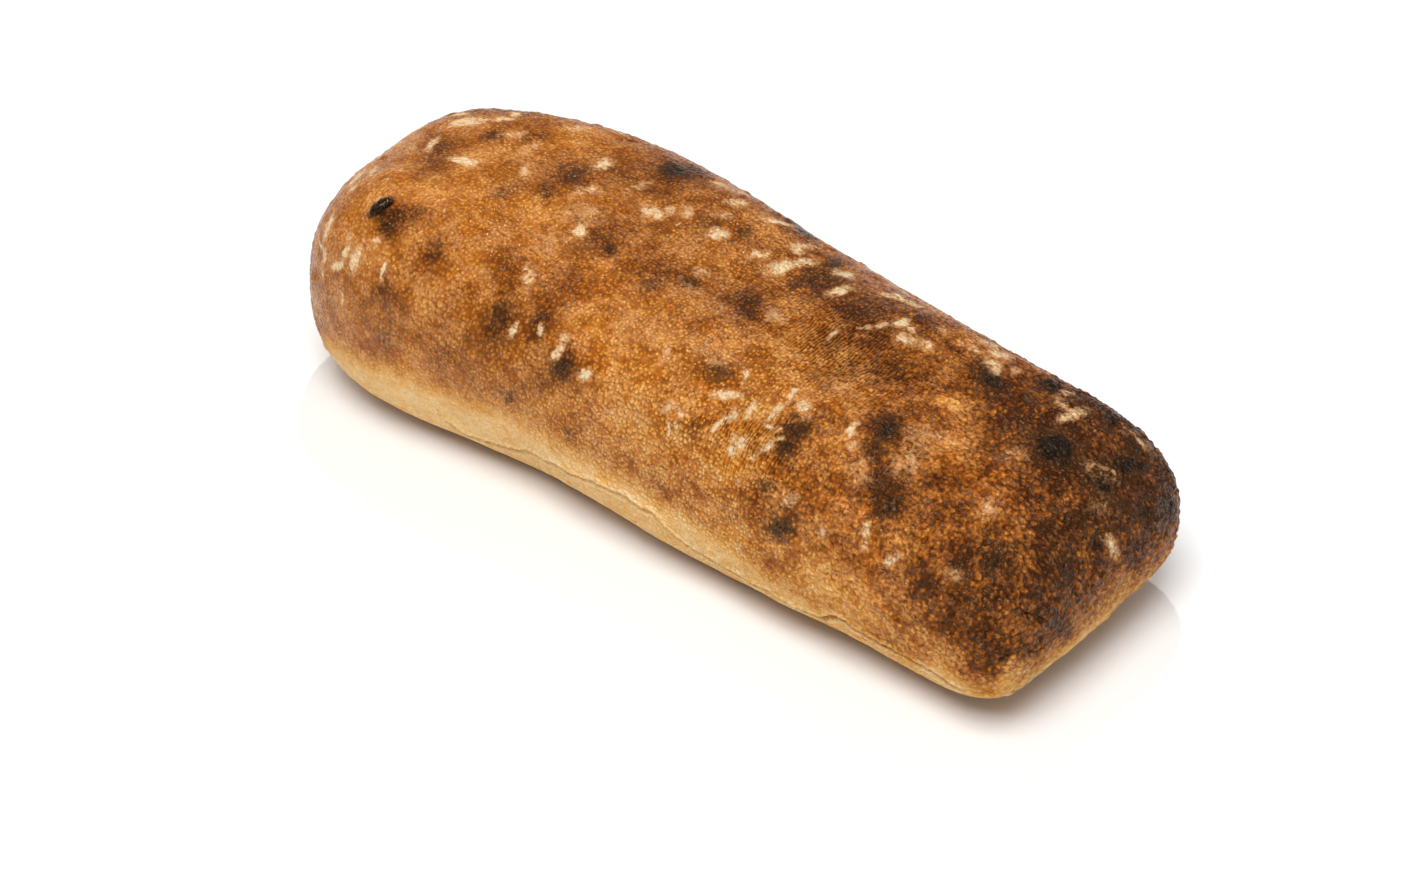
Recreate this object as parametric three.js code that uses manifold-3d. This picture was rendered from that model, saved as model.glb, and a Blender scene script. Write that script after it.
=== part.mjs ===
// A ciabatta: one flat, rounded loaf, bulkier at one end and squarer at the other.
// Millimetres, +Z up. The loaf lies along X with its flat base on Z = 0, and the origin is
// the centre of its footprint. -X is the round, bulky end, +X the squarer, lower end, and
// -Y the long side with the pale strip and the torn seam.

import * as THREE from 'three';
import { mergeVertices } from 'three/addons/utils/BufferGeometryUtils.js';
import Module from 'manifold-3d';

// ---- driving dimensions -------------------------------------------------------------

const LENGTH = 240;
const WIDTH = 93.2;
const HEIGHT = 61.8;

// The side walls are widest at this height; below it they tuck in to the flat base.
const WAIST_HEIGHT = 21;
// How far the foot's rounding would run below the base, as a share of the waist height.
const FOOT_SUNK = 0.35;

// How square the footprint's four corners are: 2 is an ellipse, larger is squarer.
const CORNERS = { frontRound: 3.9, backRound: 2.4, frontSquare: 9.1, backSquare: 8.1 };
// How square the cross-section is above the waist and below it, at either end.
const CROWN = { round: 4.0, square: 2.7 };
const FOOT = { round: 2.3, square: 1.85 };
// How much steeper the end walls are than the side walls: 0 rounds them alike.
const CROWN_STEEPNESS = { round: 0, square: 0.08 };
const FOOT_STEEPNESS = { round: 0.46, square: 0.67 };

// Unevenness along the length, as shares of the width or the height: tilt grows steadily
// towards the square end, sag makes both ends larger than the middle, twist swings twice.
const FRONT_SIDE = { tilt: -0.169, sag: 0.005, twist: 0.045 };
const BACK_SIDE = { tilt: 0, sag: 0, twist: 0.081 };
const TOP = { tilt: -0.109, sag: 0.137, twist: 0.074 };
// How the loaf's middle line bows sideways, in millimetres.
const BOW = { sag: -5.8, twist: 3.5 };
// Each end leans along the length by this much per millimetre of width.
const END_LEAN = { round: -0.09, square: -0.019 };
// Shallow tucks in the foot of the front side, where the soft dough was pinched. A depth
// below zero is a bulge: one beyond the middle, and the peak at the square end's corner.
const TUCKS = [
  { run: -0.36, reach: 0.26, depth: 5.5 },
  { run: 0.44, reach: 0.12, depth: -1.5 },
  { run: 0.72, reach: 0.12, depth: 1.5 },
  { run: 0.93, reach: 0.1, depth: -1.5 },
];

// Soft swells in the crust, where large gas bubbles lifted it: length from crest to crest,
// direction in the plan in degrees, height, and where the wave starts.
const SWELLS = [
  { length: 61, direction: 25, height: 0.5, start: 0.0 },
  { length: 43, direction: -50, height: 0.4, start: 0.3 },
  { length: 33, direction: 80, height: 0.3, start: 0.6 },
];

// The seam where the risen crust tore away from the pale rim of the front side.
const SEAM = { height: 15, band: 3.5, depth: 0.8 };

// A burnt blister of dough that stands up near the round end.
const BLISTER = { x: -85, y: -35, length: 8, width: 3.6, rise: 2, turn: 55 };

// Faces along the length, across the width and up the height.
const FACES = { length: 54, width: 18, height: 12 };

// ---- the loaf's surface -------------------------------------------------------------

const degrees = Math.PI / 180;
const blend = (from, to, share) => from + (to - from) * share;
const soften = (share) => share * share * (3 - 2 * share);
const clamp01 = (value) => Math.min(1, Math.max(0, value));
const hump = (distance) => Math.exp(-distance * distance);

// Slow changes along the length, from -1 at the round end to 1 at the square end.
function along(run, { tilt = 0, sag = 0, twist = 0 }) {
  return tilt * run + sag * (run * run - 1 / 3) + twist * (run ** 3 - 0.6 * run);
}

// Carries a point of the cube [-1, 1] onto a ball that is as square as the loaf there.
function rounded(point) {
  const toSquare = soften((point.x + 1) / 2);
  const toBack = soften((point.y + 1) / 2);
  const corner = blend(
    blend(CORNERS.frontRound, CORNERS.backRound, toBack),
    blend(CORNERS.frontSquare, CORNERS.backSquare, toBack),
    toSquare,
  );
  const above = point.z > 0;
  const profile = above ? CROWN : FOOT;
  const steepness = above ? CROWN_STEEPNESS : FOOT_STEEPNESS;
  const section = blend(profile.round, profile.square, toSquare);
  const reach = (Math.abs(point.x) ** corner + Math.abs(point.y) ** corner) ** (1 / corner);
  const size = (reach ** section + Math.abs(point.z) ** section) ** (1 / section);
  const inward = 1 - reach / size;
  const ball = point.clone().divideScalar(size);
  ball.x *= 1 + inward * blend(steepness.round, steepness.square, toSquare);
  return ball;
}

// Gives the rounded ball the loaf's width, height, bow and leaning ends, and a flat base.
function loafPoint(cubePoint) {
  const ball = rounded(cubePoint);
  const run = ball.x;
  const side = ball.y < 0 ? FRONT_SIDE : BACK_SIDE;
  const low = soften(clamp01(0.6 - ball.z));
  const tuck = TUCKS.reduce((sum, { run: middle, reach, depth }) => (
    sum + depth * low * hump((run - middle) / reach)
  ), 0);
  const y = (WIDTH / 2) * ball.y * (1 + along(run, side))
    + along(run, BOW)
    + tuck * soften(clamp01(-2 * ball.y));
  const lean = END_LEAN.round * soften(clamp01(-run)) + END_LEAN.square * soften(clamp01(run));
  const x = (LENGTH / 2) * run + lean * y;
  const top = HEIGHT * (1 + along(run, TOP));
  const z = ball.z > 0
    ? blend(WAIST_HEIGHT, top, ball.z)
    : WAIST_HEIGHT * (1 + (1 + FOOT_SUNK) * ball.z);
  return new THREE.Vector3(x, y, Math.max(0, z));
}

// Soft swells and the torn seam, measured outwards from the smooth loaf.
function relief({ x, y, z }) {
  const swell = SWELLS.reduce((sum, wave) => {
    const angle = wave.direction * degrees;
    const walked = x * Math.cos(angle) + y * Math.sin(angle) + 0.5 * z;
    return sum + wave.height * Math.sin(2 * Math.PI * (walked / wave.length + wave.start));
  }, 0);
  const seam = y < 0 ? SEAM.depth * hump((z - SEAM.height) / SEAM.band) : 0;
  return swell - seam;
}

function loafGeometry() {
  const cube = new THREE.BoxGeometry(2, 2, 2, FACES.length, FACES.width, FACES.height);
  cube.deleteAttribute('normal');
  cube.deleteAttribute('uv');
  const surface = mergeVertices(cube);
  const spot = surface.attributes.position;
  for (let i = 0; i < spot.count; i += 1) {
    const cubePoint = new THREE.Vector3().fromBufferAttribute(spot, i);
    const point = loafPoint(cubePoint);
    spot.setXYZ(i, point.x, point.y, point.z);
  }
  surface.computeVertexNormals();
  const facing = surface.attributes.normal;
  for (let i = 0; i < spot.count; i += 1) {
    const point = new THREE.Vector3().fromBufferAttribute(spot, i);
    const outward = new THREE.Vector3().fromBufferAttribute(facing, i);
    const onBase = point.z === 0;
    if (!onBase) point.addScaledVector(outward, relief(point));
    spot.setXYZ(i, point.x, point.y, Math.max(0, point.z));
  }
  surface.deleteAttribute('normal');
  return surface;
}

// ---- the burnt blister, fused to the crust ------------------------------------------

const kernel = await Module();
kernel.setup();

function toSolid(geometry) {
  return new kernel.Manifold(new kernel.Mesh({
    numProp: 3,
    vertProperties: new Float32Array(geometry.attributes.position.array),
    triVerts: new Uint32Array(geometry.index.array),
  }));
}

function toGeometry(solid) {
  const { vertProperties, triVerts } = solid.getMesh();
  const geometry = new THREE.BufferGeometry();
  geometry.setAttribute('position', new THREE.BufferAttribute(vertProperties, 3));
  geometry.setIndex(new THREE.BufferAttribute(triVerts, 1));
  geometry.computeVertexNormals();
  return geometry;
}

// Where the crust lies under a point of the plan, and which way it faces there.
function crustUnder(surface, x, y) {
  const crust = new THREE.Mesh(surface, new THREE.MeshBasicMaterial());
  const above = new THREE.Vector3(x, y, 2 * HEIGHT);
  const straightDown = new THREE.Vector3(0, 0, -1);
  const [hit] = new THREE.Raycaster(above, straightDown).intersectObject(crust);
  return { point: hit.point, facing: hit.face.normal };
}

// A lump that is sunk by its own rise, so that half of it stands up from the crust.
function blisterGeometry(surface) {
  const { point, facing } = crustUnder(surface, BLISTER.x, BLISTER.y);
  const ball = new THREE.SphereGeometry(1, 14, 10);
  ball.deleteAttribute('normal');
  ball.deleteAttribute('uv');
  const lump = mergeVertices(ball, 1e-4);
  lump.scale(BLISTER.length / 2, BLISTER.width / 2, BLISTER.rise);
  lump.rotateZ(BLISTER.turn * degrees);
  const upright = new THREE.Vector3(0, 0, 1);
  lump.applyQuaternion(new THREE.Quaternion().setFromUnitVectors(upright, facing));
  lump.translate(point.x, point.y, point.z);
  return lump;
}

function wholeLoaf() {
  const surface = loafGeometry();
  const loaf = toSolid(surface).add(toSolid(blisterGeometry(surface)));
  const geometry = toGeometry(loaf);
  geometry.computeBoundingBox();
  const middle = geometry.boundingBox.getCenter(new THREE.Vector3());
  geometry.translate(-middle.x, -middle.y, 0);
  return geometry;
}

// ---- the object ---------------------------------------------------------------------

const crust = new THREE.MeshStandardMaterial({
  color: '#a8662e',
  roughness: 0.55,
  metalness: 0,
});

const loaf = new THREE.Mesh(wholeLoaf(), crust);
loaf.name = 'loaf';

const ciabatta = new THREE.Group();
ciabatta.name = 'ciabatta';
ciabatta.add(loaf);

export default ciabatta;
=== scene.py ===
# %% [markdown]
# # A ciabatta, baked and floured
# This lesson dresses one loaf of bread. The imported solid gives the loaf's true form and
# size; here it gets its skin: the blistered crust, the torn pale rim, scorched and charred
# spots, and the flour it was rolled in. Everything is in metres, with +Z up. The loaf lies
# along X, its pale long side faces -Y, and its squarer end points to +X.

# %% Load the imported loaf
import math

import bmesh
import bpy
import numpy as np
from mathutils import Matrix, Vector, noise
from mathutils.bvhtree import BVHTree
from mathutils.kdtree import KDTree


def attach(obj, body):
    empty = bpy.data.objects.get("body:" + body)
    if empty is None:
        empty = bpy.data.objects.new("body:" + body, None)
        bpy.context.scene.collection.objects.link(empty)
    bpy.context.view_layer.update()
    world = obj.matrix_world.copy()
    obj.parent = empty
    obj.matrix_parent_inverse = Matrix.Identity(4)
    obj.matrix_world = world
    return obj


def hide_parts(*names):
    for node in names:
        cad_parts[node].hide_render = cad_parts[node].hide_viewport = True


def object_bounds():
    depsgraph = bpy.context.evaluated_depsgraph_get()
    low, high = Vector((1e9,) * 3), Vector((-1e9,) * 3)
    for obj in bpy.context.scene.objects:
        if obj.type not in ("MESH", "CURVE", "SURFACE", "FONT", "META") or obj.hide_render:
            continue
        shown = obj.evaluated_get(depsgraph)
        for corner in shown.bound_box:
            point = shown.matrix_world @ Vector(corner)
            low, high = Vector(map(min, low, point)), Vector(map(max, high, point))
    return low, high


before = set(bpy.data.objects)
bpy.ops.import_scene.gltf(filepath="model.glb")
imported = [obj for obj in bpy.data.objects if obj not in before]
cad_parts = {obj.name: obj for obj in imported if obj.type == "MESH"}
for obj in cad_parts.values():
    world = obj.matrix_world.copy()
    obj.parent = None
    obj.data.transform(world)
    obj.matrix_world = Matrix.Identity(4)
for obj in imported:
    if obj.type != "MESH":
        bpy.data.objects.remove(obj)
solid_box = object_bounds()
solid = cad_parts["loaf"]
MM = 0.001
print("solid box, mm:", [round(side / MM, 1) for side in solid_box[1] - solid_box[0]])

# %% [markdown]
# ## The camera
# A loaf on a table is looked down on from about 38 degrees, and this one lies turned, with
# its squarer end nearest. The camera comes first because the marks on this crust were read
# off a picture of the real loaf: each one is named by its place in the frame, and the same
# camera says where on the crust that place lies. After that the marks belong to the crust
# and not to the camera, so they stay put from every side.

# %% Camera
FRAME_WIDTH = 1403
FRAME_HEIGHT = 893
AZIMUTH = math.radians(40.8)
ELEVATION = math.radians(38)
LENS_MM = 80
SENSOR_MM = 36
DISTANCE = 0.797
AIM_HEIGHT = 0.025
AIM_RIGHT = -0.0054
AIM_UP = -0.0139

TOWARDS_CAMERA = Vector((
    math.sin(AZIMUTH) * math.cos(ELEVATION),
    -math.cos(AZIMUTH) * math.cos(ELEVATION),
    math.sin(ELEVATION),
))
CAMERA_RIGHT = Vector((math.cos(AZIMUTH), math.sin(AZIMUTH), 0))
CAMERA_UP = TOWARDS_CAMERA.cross(CAMERA_RIGHT)
AIM = Vector((0, 0, AIM_HEIGHT)) + CAMERA_RIGHT * AIM_RIGHT + CAMERA_UP * AIM_UP
EYE = AIM + TOWARDS_CAMERA * DISTANCE

camera = bpy.data.objects.new("camera", bpy.data.cameras.new("camera"))
bpy.context.scene.collection.objects.link(camera)
camera.data.lens = LENS_MM
camera.data.sensor_width = SENSOR_MM
camera.location = EYE
camera.rotation_mode = "QUATERNION"
camera.rotation_quaternion = (-TOWARDS_CAMERA).to_track_quat("-Z", "Y")
bpy.context.scene.camera = camera
print("camera distance, mm:", round(DISTANCE / MM))

# %% [markdown]
# ## Floor and light
# A plain pale floor and soft light: a soft box hangs over the loaf, a little in front,
# and leaves only a narrow shadow along the base. A small lamp high up behind gives the crust
# its tiny glints, and the sky is a plain soft white.

# %% Colour helper
def linear(hex_colour, alpha=1.0):
    """An sRGB hex colour, such as "c17d39", as the linear values that shaders use."""
    channels = [int(hex_colour[i:i + 2], 16) / 255 for i in (0, 2, 4)]
    return [
        *(c / 12.92 if c <= 0.04045 else ((c + 0.055) / 1.055) ** 2.4 for c in channels),
        alpha,
    ]


print("middle grey, linear:", round(linear("808080")[0], 3))

# %% Floor, lamps and sky
FLOOR_SIZE = 6.0
FLOOR_GREY = "e7e8e9"
LAMP_WHITE = "fffefc"
SKY_WHITE = "f7f6f5"


def pale_floor():
    bpy.ops.mesh.primitive_plane_add(size=FLOOR_SIZE)
    floor = bpy.context.object
    floor.name = "floor"
    paint = bpy.data.materials.new("pale floor")
    paint.use_nodes = True
    shader = paint.node_tree.nodes["Principled BSDF"]
    shader.inputs["Base Color"].default_value = linear(FLOOR_GREY)
    shader.inputs["Roughness"].default_value = 0.9
    floor.data.materials.append(paint)
    return floor


def soft_lamp(name, place, size, watts):
    lamp = bpy.data.objects.new(name, bpy.data.lights.new(name, "AREA"))
    bpy.context.scene.collection.objects.link(lamp)
    lamp.data.size = size
    lamp.data.energy = watts
    lamp.data.color = linear(LAMP_WHITE)[:3]
    lamp.location = place
    lamp.rotation_mode = "QUATERNION"
    lamp.rotation_quaternion = (-Vector(place)).to_track_quat("-Z", "Y")
    return lamp


def soft_sky(strength):
    sky = bpy.data.worlds.new("soft sky")
    bpy.context.scene.world = sky
    sky.use_nodes = True
    background = sky.node_tree.nodes["Background"]
    background.inputs["Color"].default_value = linear(SKY_WHITE)
    background.inputs["Strength"].default_value = strength


pale_floor()
soft_lamp("soft box overhead", (0.24, -0.48, 1.22), size=0.75, watts=19.8)
soft_lamp("small lamp behind", (-0.4, 0.55, 1.3), size=0.05, watts=6)
soft_sky(0.33)
bpy.context.scene.view_settings.view_transform = "Standard"

# %% [markdown]
# ## The smooth form
# Dough has no edges, but the solid is faceted. Its triangles are joined back to the quads
# they came from, subdivision rounds them, and a voxel remesh lays an even net of small
# squares over the result. Squares of half a millimetre are fine enough to model dents,
# blisters and coarse pebbles, while the finest pebbling is left to the material.

# %% Round the solid and lay an even net over it
NET_STEP = 0.5 * MM
ROUNDING_PASSES = 14
SAME_POINT = 0.001 * MM
# Two triangles make a quad if they are this close to flat and to a rectangle, in radians.
FLAT_ENOUGH = 0.7
SQUARE_ENOUGH = 1.2


def dough_form(source):
    form = bpy.data.objects.new("crust", source.data.copy())
    bpy.context.scene.collection.objects.link(form)
    mesh = bmesh.new()
    mesh.from_mesh(form.data)
    bmesh.ops.remove_doubles(mesh, verts=mesh.verts, dist=SAME_POINT)
    bmesh.ops.join_triangles(
        mesh, faces=mesh.faces,
        angle_face_threshold=FLAT_ENOUGH, angle_shape_threshold=SQUARE_ENOUGH,
    )
    mesh.to_mesh(form.data)
    mesh.free()
    rounding = form.modifiers.new("round", "SUBSURF")
    rounding.levels = 2
    net = form.modifiers.new("net", "REMESH")
    net.mode = "VOXEL"
    net.voxel_size = NET_STEP
    even = form.modifiers.new("even", "SMOOTH")
    even.factor = 0.5
    even.iterations = ROUNDING_PASSES
    ready = form.evaluated_get(bpy.context.evaluated_depsgraph_get())
    form.data = bpy.data.meshes.new_from_object(ready)
    form.modifiers.clear()
    form.data.name = "crust"
    form.data.materials.clear()
    form.data.polygons.foreach_set("use_smooth", [True] * len(form.data.polygons))
    return form


crust = dough_form(solid)
print("net:", len(crust.data.vertices), "points,", len(crust.data.polygons), "squares")

# %% Read the net as plain arrays
def point_array(piece):
    flat = np.empty(3 * len(piece.data.vertices))
    piece.data.vertices.foreach_get("co", flat)
    return flat.reshape(-1, 3)


def facing_array(piece):
    flat = np.empty(3 * len(piece.data.vertices))
    piece.data.vertex_normals.foreach_get("vector", flat)
    return flat.reshape(-1, 3)


points = point_array(crust)
facing = facing_array(crust)
length_share = points[:, 0] / solid_box[1].x
print("base is flat within, mm:", round(abs(points[:, 2].min()) / MM, 2))

# %% [markdown]
# ## Uneven by nature
# Dough rises unevenly, so nothing on a loaf repeats. Smooth noise gives that: a value that
# drifts from -1 to 1 with humps about as far apart as we ask, in millimetres of real crust.
# The same noise, used to push the points about before a mark is measured, tears its edge.

# %% Noise helpers
# The vector noise takes its start from the clock unless it is given a seed.
NOISE_SEED = 1
noise.seed_set(NOISE_SEED)


def grain(places, size, seed):
    """A smooth random value between -1 and 1 for each place, with humps `size` apart."""
    shift = Vector((17.3, 5.1, 9.7)) * seed
    return np.array([noise.noise(Vector(place) / size + shift) for place in places])


def jostled(places, size, reach, seed):
    """Each place moved a little, by up to `reach`, so that what is drawn there is ragged."""
    shift = Vector((3.7, 11.9, 7.3)) * seed
    moves = [noise.noise_vector(Vector(place) / size + shift) for place in places]
    return places + reach * np.array(moves)


def soft_step(value, low, high):
    """Rises softly from 0 to 1 as the value goes from low to high."""
    share = np.clip((value - low) / (high - low), 0, 1)
    return share * share * (3 - 2 * share)


ragged = jostled(points, size=2.5 * MM, reach=0.7 * MM, seed=1)
ragged = jostled(ragged, size=8 * MM, reach=0.8 * MM, seed=2)
ragged = jostled(ragged, size=1.2 * MM, reach=0.45 * MM, seed=3)
moved_by = np.linalg.norm(ragged - points, axis=1)
print("ragged places lie off by up to, mm:", (moved_by.max() / MM).round(2))

# %% [markdown]
# ## Where a mark lies
# A mark is named by the place and size at which it is seen in the frame, 1403 by 893. A ray
# from the camera finds the crust there, and two more rays find how far the mark reaches
# along its own two directions, so a mark near the loaf's far edge, seen at a slant, comes
# out as long on the crust as it really is. From there on it is an oval on the crust.

# %% Look at the crust through a place in the frame
FOCAL_PIXELS = FRAME_WIDTH * LENS_MM / SENSOR_MM
FRAME_MIDDLE = (FRAME_WIDTH / 2, FRAME_HEIGHT / 2)
# A look that misses the loaf moves this share of the way to the middle, up to 40 times.
PULL_IN = 0.02
LOOKS = 40
crust_tree = BVHTree.FromObject(crust, bpy.context.evaluated_depsgraph_get())


def look_at(x, y):
    """The place on the crust seen at x, y; a look past its edge is pulled in to the loaf."""
    for _ in range(LOOKS):
        ray = (
            CAMERA_RIGHT * (x - FRAME_MIDDLE[0]) / FOCAL_PIXELS
            + CAMERA_UP * (FRAME_MIDDLE[1] - y) / FOCAL_PIXELS
            - TOWARDS_CAMERA
        )
        place, normal, _, _ = crust_tree.ray_cast(EYE, ray.normalized())
        if place:
            return np.array(place), np.array(normal)
        x += PULL_IN * (FRAME_MIDDLE[0] - x)
        y += PULL_IN * (FRAME_MIDDLE[1] - y)
    raise ValueError("no crust near this place")


print("one pixel at the loaf, mm:", round(DISTANCE / FOCAL_PIXELS / MM, 3))

# %% Draw a mark as an oval on the crust
# A mark seen at a slant is at most this much longer on the crust than it looks.
LONGEST_SLANT = 2.2
# How deep a mark reaches round a bend of the crust, against its own size.
DEPTH_REACH = 1.5
SHORTEST_STEP = 0.01 * MM


def reach_to(x, y, start, normal, span):
    """The step on the crust from start to the place seen at x, y, kept to a fair length."""
    step = look_at(x, y)[0] - start
    step -= normal * step.dot(normal)
    longest = LONGEST_SLANT * span * DISTANCE / FOCAL_PIXELS
    return step * min(1, longest / max(np.linalg.norm(step), SHORTEST_STEP))


def oval(x, y, wide, high, tilt):
    """Squared distance from a mark's middle, 1 at its rim, for each point of the net."""
    start, normal = look_at(x, y)
    turn = math.radians(tilt)
    along = reach_to(
        x + wide * math.cos(turn), y - wide * math.sin(turn), start, normal, wide
    )
    across = reach_to(
        x + high * math.sin(turn), y + high * math.cos(turn), start, normal, high
    )
    size = max(np.linalg.norm(along), np.linalg.norm(across))
    frame_of_mark = np.linalg.inv(np.array([along, across, normal * size * DEPTH_REACH]))
    offset = (ragged - start) @ frame_of_mark
    return (offset ** 2).sum(axis=1)


def drawn(marks, softness=1.0):
    """How strongly marks of (x, y, wide, high, tilt, strength) cover each net point."""
    cover = np.zeros(len(points))
    for x, y, wide, high, tilt, strength in marks:
        fade = np.exp(-oval(x, y, wide, high, tilt) ** softness)
        cover = np.maximum(cover, strength * fade)
    return cover


middle_mark = drawn([(*FRAME_MIDDLE, 10, 10, 0, 1.0)])
print("a mark 20 pixels wide covers", int((middle_mark > 0.37).sum()), "points")


# %% Follow a line along the crust
FAR_OFF = 1.0


def beside_line(trail):
    """How far each net point is from a line through places in the frame, and how high."""
    stops = [look_at(x, y)[0] for x, y in trail]
    nearest = np.full(len(points), FAR_OFF)
    higher = np.zeros(len(points))
    for start, end in zip(stops, stops[1:]):
        step = end - start
        share = np.clip((points - start) @ step / (step @ step), 0, 1)
        offset = points - start - share[:, None] * step
        gap = np.linalg.norm(offset, axis=1)
        closer = gap < nearest
        nearest[closer] = gap[closer]
        higher[closer] = offset[closer, 2]
    return nearest, higher


level_line = beside_line([(600, FRAME_MIDDLE[1]), (800, FRAME_MIDDLE[1])])
print("points within 1 mm of a level line:", int((level_line[0] < 1 * MM).sum()))

# %% [markdown]
# ## How far each part is baked
# Crust browns where it is dry and hot. The rim by the base stays pale because the stone
# shades it, the top turns golden, and the squarer end, which stood deepest in the oven, is
# darkest. Three soft layers hold this, each from 0 to 1 on every point of the net: `bake`
# for the colour, `char` for burnt places, and `flour` for the dusting. The lists below say
# where the real loaf is darker, lighter, burnt and floured: the middle of each mark in the
# frame, its reach along and across, its tilt in degrees, and how strong it is.

# %% Patches baked darker: x, y, wide, high, tilt, strength
DARKER_PATCHES = [
    (1110, 500, 90, 70, 30, 0.20), (1030, 590, 80, 50, 30, 0.16), (1060, 430, 90, 60, -30, 0.22),
    (860, 300, 110, 40, -30, 0.22), (940, 520, 60, 40, 20, 0.10), (690, 180, 70, 30, -25, 0.18),
    (745, 305, 45, 22, -15, 0.20), (560, 290, 34, 26, 40, 0.16), (505, 268, 26, 26, 0, 0.18),
    (440, 160, 30, 12, 35, 0.14), (560, 180, 40, 25, 0, 0.12), (400, 215, 26, 14, 0, 0.20),
    (620, 230, 60, 30, 0, 0.10), (545, 385, 28, 12, 0, 0.16), (610, 450, 26, 12, -20, 0.10),
    (780, 480, 60, 30, 30, 0.08), (385, 300, 22, 26, 80, 0.14), (500, 320, 26, 20, 40, 0.14),
    (900, 380, 90, 55, -30, 0.14), (1000, 370, 50, 30, -30, 0.12), (640, 170, 60, 26, -20, 0.17),
    (880, 510, 60, 50, 10, 0.10), (640, 260, 70, 40, -10, 0.08), (700, 320, 50, 36, -20, 0.05),
    (440, 240, 130, 90, 0, 0.07),
    (985, 640, 40, 34, 20, 0.20), (1050, 600, 60, 44, 30, 0.09), (950, 400, 50, 40, -30, 0.08),
    (1130, 540, 50, 40, 40, 0.13), (1110, 450, 60, 50, -30, 0.06), (1000, 560, 60, 50, 30, 0.10),
]
print(len(DARKER_PATCHES), "darker patches")

# %% Patches baked lighter: x, y, wide, high, tilt, strength
LIGHTER_PATCHES = [
    (951, 406, 16, 8, -20, 0.24), (950, 442, 18, 26, 80, 0.12), (990, 484, 16, 12, 0, 0.12),
    (780, 545, 40, 16, -25, 0.22), (740, 540, 34, 16, -25, 0.24), (700, 505, 34, 12, -25, 0.16),
    (900, 610, 40, 26, -20, 0.16), (880, 540, 34, 24, 0, 0.10), (905, 545, 26, 20, 0, 0.08),
    (640, 400, 70, 40, -20, 0.06), (470, 200, 60, 30, 20, 0.06), (960, 500, 34, 22, 30, 0.06),
    (850, 606, 80, 20, -33, 0.34), (935, 664, 50, 16, -35, 0.36), (1000, 684, 26, 12, 30, 0.22),
    (1080, 638, 95, 9, 36, 0.30), (1060, 608, 60, 24, 36, 0.06), (700, 470, 80, 44, -30, 0.16),
    (640, 440, 60, 30, -25, 0.14),
    (560, 400, 60, 26, -25, 0.08), (350, 320, 60, 60, 0, 0.05), (420, 380, 50, 26, -30, 0.10),
    (500, 410, 60, 14, -28, 0.14),
]
print(len(LIGHTER_PATCHES), "lighter patches")

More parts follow.
